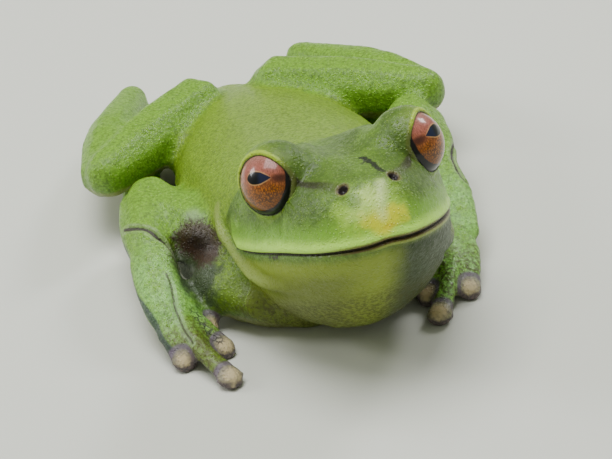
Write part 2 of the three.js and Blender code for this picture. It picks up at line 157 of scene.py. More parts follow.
def outward(side, turn, lift):
    return Vector((side * math.sin(turn) * math.cos(lift), -math.cos(turn) * math.cos(lift), math.sin(lift)))


# cast resin under a polished clear coat: the coat gives the small sharp lights, and the rougher paint
# below it the soft metallic look of the iris
glass = bpy.data.materials.new("clear_coated_resin_eye")
glass.use_nodes = True
tree = glass.node_tree
gloss = tree.nodes["Principled BSDF"]
place = add(tree, "Attribute", {"attribute_name": "eye_place"})
parts = add(tree, "SeparateXYZ", {}, {0: place.outputs["Vector"]})
fore, above = parts.outputs[0], parts.outputs[1]
edge = add(tree, "Attribute", {"attribute_name": "iris_angle"}).outputs["Fac"]

# veins: the net is drawn at about 0.19 mm, coarser than the real one, so that it shows
stretch = add(tree, "Mapping", {"Scale": (1.0, 0.36, 1.0)}, {"Vector": place.outputs["Vector"]})
cells = {"feature": "DISTANCE_TO_EDGE", "Scale": VEINS_PER_MM}
veins = add(tree, "TexVoronoi", cells, {"Vector": stretch.outputs[0]})
wander = add(tree, "TexNoise", {"Scale": 1.3, "Detail": 3.0}, {"Vector": place.outputs["Vector"]})
fine = add(tree, "TexNoise", {"Scale": 9.0, "Detail": 4.0, "Roughness": 0.7}, {"Vector": stretch.outputs[0]})

height = add(tree, "Math", {"operation": "MULTIPLY_ADD", 1: 1.5, 2: -0.75}, {0: wander.outputs["Fac"]})
height = add(tree, "Math", {"operation": "ADD"}, {0: height.outputs[0], 1: above})
to_pink = add(tree, "MapRange", {**SOFT, 1: -1.5, 2: 0.9, 3: 0.0, 4: 1.0}, {0: height.outputs[0]})
# painted highlight: the iris is painted a lighter pink towards its top, where the sky's light falls on it
top_highlight = add(tree, "MapRange", {**SOFT, 1: 0.9, 2: 2.4, 3: 0.0, 4: 1.0}, {0: above})
vein_mask = add(tree, "MapRange", {**SOFT, 1: 0.02, 2: 0.22, 3: 0.85, 4: 0.0}, {0: veins.outputs[0]})
low_veins = add(tree, "MapRange", {1: 0.8, 2: -1.4, 3: 0.12, 4: 1.0}, {0: height.outputs[0]})
vein_mask = add(tree, "Math", {"operation": "MULTIPLY"}, {0: vein_mask.outputs[0], 1: low_veins.outputs[0]})
grain = add(tree, "MapRange", {1: 0.40, 2: 0.62, 3: 0.0, 4: 0.65}, {0: fine.outputs["Fac"]})

# pupil: a level spindle, fat behind and drawn out towards the snout
half = add(tree, "MapRange", {1: PUPIL_BACK, 2: PUPIL_FRONT, 3: 0.0, 4: 1.0}, {0: fore})
curve = add(tree, "FloatCurve", {}, {"Value": half.outputs[0]})
line = curve.mapping.curves[0]
for x, y in ((0.05, 0.46), (0.14, 0.82), (0.28, 1.0), (0.46, 0.94), (0.62, 0.66), (0.76, 0.32), (0.86, 0.08)):
    line.points.new(x, y)
line.points[0].location = (0.0, 0.0)
line.points[-1].location = (1.0, 0.0)
curve.mapping.update()
reach = add(tree, "Math", {"operation": "MULTIPLY", 1: PUPIL_HALF_HEIGHT}, {0: curve.outputs[0]})
middle = add(tree, "Math", {"operation": "MULTIPLY_ADD", 1: -0.09, 2: 0.04}, {0: fore})
off = add(tree, "Math", {"operation": "SUBTRACT"}, {0: above, 1: middle.outputs[0]})
off = add(tree, "Math", {"operation": "ABSOLUTE"}, {0: off.outputs[0]})
inside = add(tree, "Math", {"operation": "SUBTRACT"}, {0: reach.outputs[0], 1: off.outputs[0]})
for tip, past_tip in ((1.15, 1.58), (-1.28, -1.66)):
    beyond_tip = add(tree, "MapRange", {1: tip, 2: past_tip, 3: 0.0, 4: 0.6}, {0: fore})
    inside = add(tree, "Math", {"operation": "SUBTRACT"}, {0: inside.outputs[0], 1: beyond_tip.outputs[0]})
pupil_mask = add(tree, "MapRange", {**SOFT, 1: -0.03, 2: 0.05, 3: 0.0, 4: 1.0}, {0: inside.outputs[0]})
rim_mask = add(tree, "MapRange", {**SOFT, 1: -0.16, 2: -0.03, 3: 0.0, 4: 0.55}, {0: inside.outputs[0]})
rear = add(tree, "MapRange", {**SOFT, 1: 1.30, 2: 0.60, 3: 0.25, 4: 1.0}, {0: fore})
rim_mask = add(tree, "Math", {"operation": "MULTIPLY"}, {0: rim_mask.outputs[0], 1: rear.outputs[0]})
# painted reflection: a dark blue sheen of the sky laid into the pupil, strongest in its front half
sky = add(tree, "MapRange", {**SOFT, 1: -0.30, 2: 0.30, 3: 0.0, 4: 0.75}, {0: fore})
painted_sky_reflection = add(tree, "Math", {"operation": "MULTIPLY"}, {0: pupil_mask.outputs[0], 1: sky.outputs[0]})

# a dark smear ahead of the pupil, in the iris
SMEAR_PLACE = (1.90, -0.16, 2.75)
smear = add(tree, "VectorMath", {"operation": "SUBTRACT", 1: SMEAR_PLACE}, {0: place.outputs["Vector"]})
smear = add(tree, "VectorMath", {"operation": "MULTIPLY", 1: (0.85, 1.7, 0.4)}, {0: smear.outputs[0]})
smear = add(tree, "VectorMath", {"operation": "LENGTH"}, {0: smear.outputs[0]})
smear = add(tree, "Math", {"operation": "ADD"}, {0: fine.outputs["Fac"], 1: smear.outputs["Value"]})
smear_mask = add(tree, "MapRange", {**SOFT, 1: 1.45, 2: 0.75, 3: 0.0, 4: 0.85}, {0: smear.outputs[0]})

# the ball is black beyond the iris, and the iris darkens towards that edge
edge_noise = add(tree, "Math", {"operation": "MULTIPLY_ADD", 1: 5.0, 2: -2.5}, {0: fine.outputs["Fac"]})
edge_angle = add(tree, "Math", {"operation": "ADD"}, {0: edge, 1: edge_noise.outputs[0]})
outside_iris = {**SOFT, 1: IRIS_EDGE, 2: IRIS_EDGE + 2.0, 3: 0.0, 4: 1.0}
beyond = add(tree, "MapRange", outside_iris, {0: edge_angle.outputs[0]})
shade = add(tree, "MapRange", {**SOFT, 1: 40.0, 2: 57.0, 3: 0.0, 4: 0.5}, {0: edge})

copper_to_pink = {"data_type": "RGBA", 6: colour("#b86a10"), 7: colour("#b4685c")}
paint = add(tree, "Mix", copper_to_pink, {0: to_pink.outputs[0]})
for mask, code in (
    (top_highlight, "#b47c72"),
    (grain, "#55351c"),
    (vein_mask, "#3a2412"),
    (shade, "#7a4416"),
    (smear_mask, "#3b1d18"),
    (rim_mask, "#c9a36c"),
    (pupil_mask, "#03060a"),
    (painted_sky_reflection, "#1c2440"),
    (beyond, "#05080a"),
):
    over = {0: mask.outputs[0], 6: paint.outputs[2]}
    paint = add(tree, "Mix", {"data_type": "RGBA", 7: colour(code)}, over)
tree.links.new(paint.outputs[2], gloss.inputs["Base Color"])
gloss.inputs["Roughness"].default_value = 0.30
gloss.inputs["IOR"].default_value = 1.40
gloss.inputs["Specular IOR Level"].default_value = 0.3
gloss.inputs["Coat Weight"].default_value = 0.75
gloss.inputs["Coat Roughness"].default_value = 0.04
gloss.inputs["Coat IOR"].default_value = 1.34

for name, side in (("eye_right", -1), ("eye_left", 1)):
    pupil_axis = outward(side, PUPIL_TURN, PUPIL_LIFT)
    iris_axis = outward(side, IRIS_TURN, IRIS_LIFT)
    forward = pupil_axis.cross(Vector((0.0, 0.0, 1.0))).normalized() * side
    lifted = forward.cross(pupil_axis) * side
    shape = bmesh.new()
    bmesh.ops.create_uvsphere(shape, u_segments=72, v_segments=48, radius=EYE_RADIUS * MM)
    low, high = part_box(name)
    turned = pupil_axis.to_track_quat("Z", "Y").to_matrix()
    bmesh.ops.rotate(shape, verts=shape.verts, matrix=turned)
    ball_mesh = bpy.data.meshes.new(name + "_ball")
    where = shape.verts.layers.float_vector.new("eye_place")
    angle = shape.verts.layers.float.new("iris_angle")
    for vert in shape.verts:
        vert[where] = (vert.co.dot(forward) / MM, vert.co.dot(lifted) / MM, vert.co.dot(pupil_axis) / MM)
        vert[angle] = math.degrees(vert.co.angle(iris_axis))
    bmesh.ops.rotate(shape, verts=shape.verts, matrix=head_turn)
    bmesh.ops.translate(shape, verts=shape.verts, vec=(low + high) / 2)
    for face in shape.faces:
        face.smooth = True
    shape.to_mesh(ball_mesh)
    shape.free()
    ball = bpy.data.objects.new(name + "_ball", ball_mesh)
    bpy.context.scene.collection.objects.link(ball)
    ball.data.materials.append(glass)
    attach(ball, "root")
    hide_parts(name)


# Skin. One thin moist skin covers the frog from snout to toes. It is laid over the flesh of the frame,
# relaxed until no facet shows, refined over the face, and then modelled: lids, mouth, nostrils, folds.
FLESH = [name for name in sorted(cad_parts) if not name.startswith("eye")]
GROW = 0.24  # mm that each piece of flesh swells before the skin is laid, taken off again at the end
GRAIN = 0.435  # mm between the points of the first skin

mould = bmesh.new()
landmarks = []
for name in FLESH + ["eye_right", "eye_left"]:
    solid = bmesh.new()
    solid.from_mesh(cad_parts[name].data)
    bmesh.ops.remove_doubles(solid, verts=solid.verts, dist=1e-7)
    solid.normal_update()
    for vert in solid.verts:
        vert.co += vert.normal * GROW * MM
    landmarks += [(vert.co.copy(), name) for vert in solid.verts]
    landmarks += [(face.calc_center_median(), name) for face in solid.faces]
    piece = bpy.data.meshes.new("piece")
    solid.to_mesh(piece)
    solid.free()
    mould.from_mesh(piece)
    bpy.data.meshes.remove(piece)
skin_mesh = bpy.data.meshes.new("skin_mould")
mould.to_mesh(skin_mesh)
mould.free()
skin = bpy.data.objects.new("skin", skin_mesh)
bpy.context.scene.collection.objects.link(skin)
remesh = skin.modifiers.new("remesh", "REMESH")
remesh.mode = "VOXEL"
remesh.voxel_size = GRAIN * MM
remesh.use_smooth_shade = True
closed = bpy.data.meshes.new_from_object(skin.evaluated_get(bpy.context.evaluated_depsgraph_get()))
skin.modifiers.clear()

# only the outer shell is kept: any closed pocket between the pieces is dropped
shape = bmesh.new()
shape.from_mesh(closed)
shape.verts.ensure_lookup_table()
shell = [-1] * len(shape.verts)
counts = []
for start in range(len(shape.verts)):
    if shell[start] >= 0:
        continue
    shell[start] = len(counts)
    queue = [shape.verts[start]]
    size = 0
    while queue:
        vert = queue.pop()
        size += 1
        for edge in vert.link_edges:
            other = edge.other_vert(vert)
            if shell[other.index] < 0:
                shell[other.index] = len(counts)
                queue.append(other)
    counts.append(size)
outer = counts.index(max(counts))
pockets = [vert for vert in shape.verts if shell[vert.index] != outer]
bmesh.ops.delete(shape, geom=pockets, context="VERTS")


def read(shape):
    shape.verts.ensure_lookup_table()
    shape.verts.index_update()
    points = np.array([vert.co for vert in shape.verts]) / MM
    pairs = np.array([(edge.verts[0].index, edge.verts[1].index) for edge in shape.edges])
    return points, pairs


def write(shape, points):
    for vert, point in zip(shape.verts, points * MM):
        vert.co = point
    shape.normal_update()


def normals(shape):
    shape.normal_update()
    return np.array([vert.normal for vert in shape.verts])


# each round draws a point towards the middle of its neighbours and then springs it back a little
# more, which takes out facets and keeps the bulk; share says how far each point takes part
def relax(values, pairs, rounds, share, spring=-0.53):
    a, b = pairs[:, 0], pairs[:, 1]
    values = values.reshape(len(values), -1).copy()
    share = np.broadcast_to(np.asarray(share, float).reshape(-1, 1), (len(values), 1))
    degree = np.maximum(np.bincount(a, minlength=len(values)) + np.bincount(b, minlength=len(values)), 1)
    for _ in range(rounds):
        for step in (0.5, spring):
            if step == 0.0:
                continue
            for axis in range(values.shape[1]):
                column = values[:, axis]
                total = np.bincount(a, column[b], len(values)) + np.bincount(b, column[a], len(values))
                values[:, axis] = column + step * share[:, 0] * (total / degree - column)
    return values


def ramp(value, start, end):
    t = np.clip((value - start) / (end - start), 0.0, 1.0)
    return t * t * (3.0 - 2.0 * t)


points, pairs = read(shape)

# each point belongs to the nearest flesh, which tells the limbs and the digits from the body; the
# body is smoothed most and the digits least
tree_of_nodes = kdtree.KDTree(len(landmarks))
for index, (place, name) in enumerate(landmarks):
    tree_of_nodes.insert(place, index)
tree_of_nodes.balance()
owner = np.array([landmarks[tree_of_nodes.find(point * MM)[1]][1] for point in points])
is_digit = np.array([name.startswith(("finger", "toe")) for name in owner], float)
is_limb = np.array([not name.startswith(("head", "lower", "trunk", "eye")) for name in owner], float)
digit = relax(is_digit, pairs, 12, 1.0, 0.0)[:, 0]
limb = relax(is_limb, pairs, 16, 1.0, 0.0)[:, 0]

points = relax(points, pairs, 40, 1.0)
points = relax(points, pairs, 60, 1.0 - ramp(digit, 0.2, 0.8))
points = relax(points, pairs, 200, 1.0 - ramp(limb, 0.2, 0.8))
write(shape, points)
points -= normals(shape) * GROW
write(shape, points)
limb_share = shape.verts.layers.float.new("limb_share")
digit_share = shape.verts.layers.float.new("digit_share")
for vert, in_limb, in_digit in zip(shape.verts, limb, digit):
    vert[limb_share] = in_limb
    vert[digit_share] = in_digit


# Refining: the grid of the skin is halved over the face and the hands, and once more round the eyes,
# the nostrils and the mouth, so that a fold a few tenths of a millimetre wide keeps its edge.
joint = np.array(jaw_joint) / MM
turn = np.array(head_turn)
foot_of_joint = np.array((joint[0], joint[1], 0.0))
OPEN_TURN, OPEN_LIFT = math.radians(47.0), math.radians(3.0)
NOSTRIL = (2.38, -16.62, 5.12)


# where each point lies about an eye: degrees from the eye's gaze, degrees round it (0 ahead, 90 above),
# mm from its middle, how wide the lids stand open in that direction, and the eye's own three axes
def about_eye(spots, side):
    gaze = np.array(outward(side, OPEN_TURN, OPEN_LIFT))
    ahead = np.cross(gaze, (0.0, 0.0, 1.0)) * side
    ahead /= np.linalg.norm(ahead)
    lifted = np.cross(ahead, gaze) * side
    arm = spots - np.array((side * EYE_SIDE, -EYE_FRONT, EYE_RISE))
    length = np.linalg.norm(arm, axis=1)
    theta = np.degrees(np.arccos(np.clip(arm @ gaze / length, -1.0, 1.0)))
    phi = np.degrees(np.arctan2(arm @ lifted, arm @ ahead))
    opening = 55.5 + 3.0 * np.exp(-((phi - 6.0) / 14.0) ** 2) - 3.0 * np.exp(-((phi - 58.0) / 28.0) ** 2)
    opening += 6.0 * (0.5 - 0.5 * np.cos(np.radians(phi))) ** 2
    return theta, phi, length, opening, (gaze, ahead, lifted)


# mm above the closed mouth, whose line dips at the lip's middle and at the right corner
def mouth_height(spots):
    dip = 0.20 * np.exp(-((spots[:, 0] - 0.2) / 1.5) ** 2) + 0.22 * np.exp(-((spots[:, 0] + 8.4) / 1.6) ** 2)
    return spots[:, 2] - dip + 0.12


def refine(shape, wanted):
    shape.verts.index_update()
    edges = [e for e in shape.edges if wanted[e.verts[0].index] and wanted[e.verts[1].index]]
    bmesh.ops.subdivide_edges(shape, edges=edges, cuts=1, use_grid_fill=True, use_single_edge=True)


# the bands along the mouth, round the lids and round the nostrils that get the finest grid
def near_marks(spots, margin):
    wanted = (np.abs(mouth_height(spots)) < 0.45 + margin) & (spots[:, 1] < 1.2) & (spots[:, 2] > -3.0)
    for side in (-1, 1):
        theta, phi, length, opening, axes = about_eye(spots, side)
        wanted |= (np.abs(theta - opening) < 8.0 + 16.0 * margin) & (length < EYE_RADIUS + 2.0)
        nostril = np.linalg.norm(spots - np.array(NOSTRIL) * (side, 1, 1), axis=1)
        wanted |= nostril < 0.95 + margin
    return wanted


points, pairs = read(shape)
spots = (points - joint) @ turn
ground = points - foot_of_joint
face = (spots[:, 1] < 3.0) & (spots[:, 2] > -8.0) & (limb < 0.5)
hands = (ground[:, 1] < 13.0) & (np.abs(ground[:, 0]) > 6.0) & (limb > 0.5) & (ground[:, 2] < 10.0)
refine(shape, face | hands)
points, pairs = read(shape)
spots = (points - joint) @ turn
ground = points - foot_of_joint
fresh = (ramp(spots[:, 1], 5.0, 3.5) * ramp(spots[:, 2], -10.0, -8.5)) + ramp(ground[:, 1], 13.5, 12.5)
points = relax(points, pairs, 18, np.clip(fresh, 0.0, 1.0))
write(shape, points)
refine(shape, near_marks((points - joint) @ turn, 0.0))
points, pairs = read(shape)
points = relax(points, pairs, 10, near_marks((points - joint) @ turn, 0.25).astype(float))
write(shape, points)


# Modelling: lids are turned round each eye, the mouth is cut, and the nostrils, the ear discs and the
# folds of loose skin are raised or pressed in, as a modeller works them over a cast.
points, pairs = read(shape)
limb = np.array([vert[limb_share] for vert in shape.verts])
digit = np.array([vert[digit_share] for vert in shape.verts])
faces_out = normals(shape)
spots = (points - joint) @ turn
surface = BVHTree.FromBMesh(shape)


# a drawn line rounded at its corners and laid on the surface
def laid(path, from_head=True, mirrored=False):
    path = np.array(path, float) * ((-1.0, 1.0, 1.0) if mirrored else (1.0, 1.0, 1.0))
    for _ in range(2):
        cut = [path[0]]
        for start, end in zip(path, path[1:]):
            cut += [start * 0.75 + end * 0.25, start * 0.25 + end * 0.75]
        path = np.array(cut + [path[-1]])
    path = path @ turn.T + joint if from_head else path + foot_of_joint
    return np.array([surface.find_nearest(Vector(place) * MM)[0] for place in path]) / MM


# how far each point lies from a line, and how far along the line, from 0 to 1, it lies
def away(path):
    best = np.full(len(points), 99.0)
    share = np.zeros(len(points))
    lengths = np.r_[0.0, np.cumsum(np.linalg.norm(np.diff(path, axis=0), axis=1))]
    for index, (start, end) in enumerate(zip(path, path[1:])):
        step = end - start
        t = np.clip((points - start) @ step / max(step @ step, 1e-9), 0.0, 1.0)
        reach = np.linalg.norm(points - start - t[:, None] * step, axis=1)
        closer = reach < best
        best[closer] = reach[closer]
        share[closer] = ((lengths[index] + t * (lengths[index + 1] - lengths[index])) / lengths[-1])[closer]
    return best, share


# the drawn lines: name, the frame of its points (the head's, or the floor's under the jaw joint), and
# whether the left side has it too, turned over
LINES = [
    ("stripe", "head", False, [
        (-5.9, -11.7, 6.7), (-5.22, -12.3, 6.2), (-4.6, -13.3, 5.95), (-3.7, -14.7, 5.7),
        (-2.9, -16.0, 5.45)]),
    ("stripe", "head", False, [
        (6.1, -11.3, 6.3), (5.4, -12.8, 5.7), (4.5, -14.2, 5.6), (3.5, -15.5, 5.45),
        (2.9, -16.1, 5.3)]),
    ("gular", "head", True, [
        (-10.2, 6.6, 3.4), (-10.25, 5.6, 1.4), (-10.3, 2.4, -0.3), (-10.1, 0.0, -1.43), (-9.87, -2.4, -2.4),
        (-9.3, -5.0, -3.1), (-8.4, -7.8, -3.45), (-7.0, -10.9, -3.5), (-5.6, -12.9, -3.5)]),
    ("ear_fold", "head", True, [
        (-8.4, -4.9, 7.2), (-9.0, -2.6, 6.0), (-9.6, -0.4, 4.6), (-10.0, 2.2, 3.0), (-10.2, 5.0, 2.4)]),
    ("ridge", "head", False, [
        (1.02, -17.35, 5.06), (0.72, -18.04, 4.26), (0.37, -18.49, 3.31), (0.1, -18.8, 2.4)]),
    ("ink", "head", False, [
        (1.0, -11.9, 7.06), (1.32, -12.0, 7.0), (1.12, -12.6, 6.85), (1.5, -12.9, 6.75), (1.15, -13.5, 6.63),
        (1.6, -14.0, 6.5), (1.4, -14.8, 6.27), (1.5, -15.6, 6.05), (1.8, -16.15, 5.79)]),
    ("branch", "head", False, [(1.15, -12.9, 6.74), (0.9, -13.3, 6.7), (0.54, -13.64, 6.67)]),
    ("brow", "head", True, [
        (-2.9, -5.6, 8.4), (-3.0, -8.4, 8.25), (-3.25, -10.2, 7.7), (-3.7, -11.4, 7.05), (-4.4, -12.4, 6.5)]),
    ("crease", "floor", True, [
        (-18.4, 12.8, 6.9), (-17.71, 11.19, 7.99), (-17.09, 10.8, 7.95), (-16.54, 10.2, 7.88),
        (-16.11, 9.4, 7.37), (-15.65, 9.1, 6.8), (-15.2, 8.4, 6.35), (-14.9, 7.6, 5.4), (-14.7, 7.0, 4.4)]),
    ("groove", "floor", False, [
        (-16.6, 4.9, 5.9), (-16.5, 3.7, 5.35), (-16.8, 2.3, 4.7), (-16.97, 1.2, 4.16), (-17.05, -0.3, 3.7),
        (-17.1, -1.9, 3.35), (-16.95, -3.0, 3.15), (-16.8, -3.6, 2.9)]),
    ("outer_edge", "floor", False, [
        (-18.9, 12.0, 5.8), (-19.3, 9.0, 5.4), (-19.9, 5.6, 4.2), (-19.7, 2.4, 4.0), (-19.4, 1.0, 3.4),
        (-19.25, -0.7, 2.5), (-18.83, -2.5, 1.84)]),
    ("inner_edge", "floor", False, [
        (-15.3, 0.9, 3.3), (-15.1, -0.56, 2.8), (-14.7, -1.8, 2.2), (-14.0, -2.7, 1.6)]),
]
EAR = (-9.7, -2.3, 3.4)
gap, along = {}, {}
for name, base, both, path in LINES:
    for mirrored in (False, True)[: 1 + both]:
        reach, share = away(laid(path, base == "head", mirrored))
        if name in gap:
            share = np.where(reach < gap[name], share, along[name])
            reach = np.minimum(reach, gap[name])
        gap[name], along[name] = reach, share
for name, middle in (("nostril", NOSTRIL), ("ear", EAR)):
    both_sides = [np.linalg.norm(spots - np.array(middle) * (side, 1, 1), axis=1) for side in (-1, 1)]
    gap[name] = np.min(both_sides, axis=0)


def bell(distance, width):
    return np.exp(-(distance / width) ** 2)


# how far each point is pushed out, in mm: a bell across each line, faded at the line's ends
push = 0.14 * bell(gap["stripe"], 0.7) * ramp(along["stripe"], 1.0, 0.85)
fade = ramp(along["gular"], 0.0, 0.15) * ramp(along["gular"], 1.0, 0.55)
push += (0.55 * bell(gap["gular"], 0.48) - 0.28 * bell(gap["gular"] - 1.10, 0.42)) * fade
push += 0.50 * bell(gap["brow"], 1.05) * ramp(along["brow"], 1.0, 0.6)
fade = ramp(along["ear_fold"], 0.0, 0.1) * ramp(along["ear_fold"], 1.0, 0.7)
push += 0.34 * bell(gap["ear_fold"], 0.42) * fade
push += 0.10 * bell(gap["ear"] - 1.25, 0.22) - 0.14 * ramp(gap["ear"], 1.25, 0.6)
push += 0.12 * bell(gap["nostril"] - 0.74, 0.22) - 0.70 * bell(gap["nostril"], 0.42)
push += 0.14 * bell(gap["ridge"], 0.28) * ramp(along["ridge"], 1.0, 0.6)
fade = ramp(along["crease"], 0.0, 0.15)
push -= (0.34 * bell(gap["crease"], 0.22) - 0.14 * bell(gap["crease"] - 0.5, 0.3)) * fade
push -= 0.26 * bell(gap["groove"], 0.16) * ramp(along["groove"], 0.0, 0.25)
points = points + faces_out * push[:, None]

# the mouth: points near its line are drawn onto it, then the line is pressed in between rounded lips
spots = (points - joint) @ turn
lips = mouth_height(spots)
outside = (faces_out @ turn) * (1.0, 1.0, 0.0)
outside /= np.maximum(np.linalg.norm(outside, axis=1), 0.3)[:, None]
fade = ramp(spots[:, 1], 0.9, -1.2) * (limb < 0.5) * (spots[:, 2] > -3.5)
at_line = (np.abs(lips) < 0.055) & (fade > 0.0)
spots[:, 2] -= lips * at_line
lips = mouth_height(spots)
cut = -0.34 * np.exp(-(lips / 0.13) ** 2) - 0.12 * ramp(lips, 0.12, -0.12) * ramp(lips, -2.4, -0.5)
cut += 0.10 * np.exp(-((lips - 0.50) / 0.32) ** 2) + 0.05 * np.exp(-((lips + 0.42) / 0.22) ** 2)
spots += outside * (cut * fade)[:, None]

# the lids: round each eye the skin becomes a thin shell on the ball, turned in at its rim
for side in (-1, 1):
    theta, phi, length, opening, (gaze, ahead, lifted) = about_eye(spots, side)
    past = theta - opening
    near = (length < EYE_RADIUS + 2.6) & (theta < 115.0)
    snap = near & (np.abs(past) < 0.8)
    theta[snap] = opening[snap]
    past[snap] = 0.0
    rounded = np.sqrt(1.0 - (1.0 - np.clip(past / 6.5, 0.0, 1.0)) ** 2)
    lid = EYE_RADIUS + 0.05 + (0.27 + 0.10 * np.sin(np.radians(phi))) * rounded
    lid = np.where(past < 0.0, EYE_RADIUS + 0.05 - 0.65 * np.clip(-past / 0.9, 0.0, 1.0), lid)
    keep = ramp(past, 7.0, 30.0)
    length = np.where(near, lid * (1.0 - keep) + length * keep, length)
    wide, high = np.radians(theta)[:, None], np.radians(phi)[:, None]
    ray = np.cos(wide) * gaze + np.sin(wide) * (np.cos(high) * ahead + np.sin(high) * lifted)
    centre = np.array((side * EYE_SIDE, -EYE_FRONT, EYE_RISE))
    spots = np.where(near[:, None], centre + ray * length[:, None], spots)
points = spots @ turn.T + joint
points[:, 2] = np.maximum(points[:, 2], 0.0)  # nothing dips under the floor
write(shape, points)


# Marks. What the paint follows is kept on the skin as numbers at each point: distances in mm to the
# lid edge, the mouth line and the drawn lines, and how far a point lies inside each patch of colour.
SPECKS = [
    (-9.1, -8.8, -0.2), (-8.85, -9.5, -0.3), (-8.5, -10.0, -0.2), (-8.0, -10.5, -0.2), (-7.6, -11.4, -0.2),
]
# the patches of colour, some of them painted light or shade: the frame of their middle, the middle,
# and the half-lengths, in mm
PATCHES = {
    "snout": ("head", (-0.6, -18.3, 3.0), (4.2, 2.6, 2.6)),
    # white: partly the snout's own pale colour, partly a painted highlight of wet shine
    "white": ("head", (-0.5, -18.0, 3.9), (1.5, 1.5, 1.5)),
    "pale": ("head", (-1.9, -18.1, 2.9), (1.4, 1.3, 0.8)),
    "blue": ("head", (-1.95, -17.8, 4.2), (0.8, 0.9, 0.8)),
    "yellow": ("head", (0.2, -18.8, 2.0), (2.6, 1.4, 1.3)),
    "orange": ("head", (0.5, -19.05, 1.3), (0.8, 0.7, 0.35)),
    # armpit: partly the skin's own brown, partly painted shade; the next is a painted highlight, the last
    # painted shade
    "armpit": ("floor", (-12.3, 7.6, 6.7), (3.4, 3.6, 2.1)),
    "shoulder": ("floor", (-12.0, 9.9, 8.3), (2.4, 1.8, 0.8)),
    "flank": ("floor", (-12.6, 7.0, 3.6), (4.0, 6.4, 4.2)),
}
# the middles of the round finger and toe tips, on the floor under the jaw joint
DISCS = [
    (-14.0, 1.3), (-13.7, -2.9), (-14.5, -8.1), (-17.7, -3.2),
    (9.4, -0.6), (7.2, -3.8), (7.0, -7.4), (11.1, -4.6),
    (-11.0, 22.8), (-11.9, 20.2), (-13.4, 17.6), (-15.7, 15.6), (-16.4, 20.6),
    (11.0, 22.8), (11.9, 20.2), (13.4, 17.6), (15.7, 15.6), (16.4, 20.6),
]

spots = (points - joint) @ turn
ground = points - foot_of_joint
faces_out = normals(shape)
marks = {name: gap[name] for name in gap if name not in ("ear_fold", "ear", "brow")}
marks["gular_along"] = along["gular"]
marks["ink_along"] = along["ink"]
marks["stripe_along"] = along["stripe"]
lid_gap = np.full(len(points), 9.0)
lid_turn = np.zeros(len(points))
for side in (-1, 1):
    theta, phi, length, opening, axes = about_eye(spots, side)
    past = np.where(length < EYE_RADIUS + 2.4, np.radians(theta - opening) * EYE_RADIUS, 9.0)
    lid_turn = np.where(past < lid_gap, phi, lid_turn)
    lid_gap = np.minimum(past, lid_gap)
marks["lid"] = lid_gap
marks["lid_turn"] = lid_turn
marks["lip"] = np.where((spots[:, 1] < 1.0) & (limb < 0.5), mouth_height(spots), 9.0)
marks["speck"] = np.min([np.linalg.norm(spots - np.array(s), axis=1) for s in SPECKS], axis=0)
for name, (base, middle, reach) in PATCHES.items():
    offset = (spots if base == "head" else ground) - np.array(middle)
    marks[name] = 1.0 - np.linalg.norm(offset / np.array(reach), axis=1)
marks["tip"] = np.min([np.linalg.norm(ground - np.array((x, y, 0.8)), axis=1) for x, y in DISCS], axis=0)
marks["limb"] = limb
marks["digit"] = digit
marks["under"] = -faces_out[:, 2]
marks["head_x"], marks["head_y"], marks["head_z"] = spots.T


# Paint and wet look. Frog skin is a thin, moist, slightly clear skin over colour cells: light goes a
# little way in, and fine warts give it small glints. The folds and the tips of the digits are tinted, and
# some coats are painted light: painted shade on the throat, the flank, the armpit, in the creases and the
# nostrils and under the discs, and painted highlights on the upper arms, the tops of the limbs, the brows
# and the snout.
for face in shape.faces:
    face.smooth = True
skin_shape = bpy.data.meshes.new("skin_shape")
shape.to_mesh(skin_shape)
shape.free()
for name in marks:
    layer = skin_shape.attributes.new(name, "FLOAT", "POINT")
    layer.data.foreach_set("value", np.asarray(marks[name], np.float32))
skin.data = skin_shape

# moist skin is translucent and slightly rough under a thin wet coat: light softens a little way in,
# and the coat gives the small wet lights on the warts
flesh = bpy.data.materials.new("moist_granular_frog_skin")
flesh.use_nodes = True
tree = flesh.node_tree
body = tree.nodes["Principled BSDF"]
object_place = add(tree, "TexCoord", {}).outputs["Object"]
in_mm = add(tree, "Mapping", {"Scale": (1000.0, 1000.0, 1000.0)}, {"Vector": object_place}).outputs[0]
source = {}
for name in marks:
    source[name] = add(tree, "Attribute", {"attribute_name": name}).outputs["Fac"]
# mottling of four sizes, 4.5 mm down to 0.14 mm across
MOTTLES = (("cloud", 0.22, 3.0), ("blotch", 0.75, 4.0), ("fleck", 2.6, 4.0), ("dust", 7.0, 3.0))
for name, per_mm, detail in MOTTLES:
    noise = add(tree, "TexNoise", {"Scale": per_mm, "Detail": detail, "Roughness": 0.6}, {"Vector": in_mm})
    source[name] = noise.outputs["Fac"]
# warts are drawn 0.3 mm apart, coarser than the finest real ones, so that they show, and the dark
# net between the pads of the digits has meshes of 0.6 mm
warts = add(tree, "TexVoronoi", {"feature": "F1", "Scale": 3.3, "Randomness": 1.0}, {"Vector": in_mm})
source["wart"] = warts.outputs["Distance"]
net = add(tree, "TexVoronoi", {"feature": "DISTANCE_TO_EDGE", "Scale": 1.7}, {"Vector": in_mm})
source["net"] = net.outputs["Distance"]

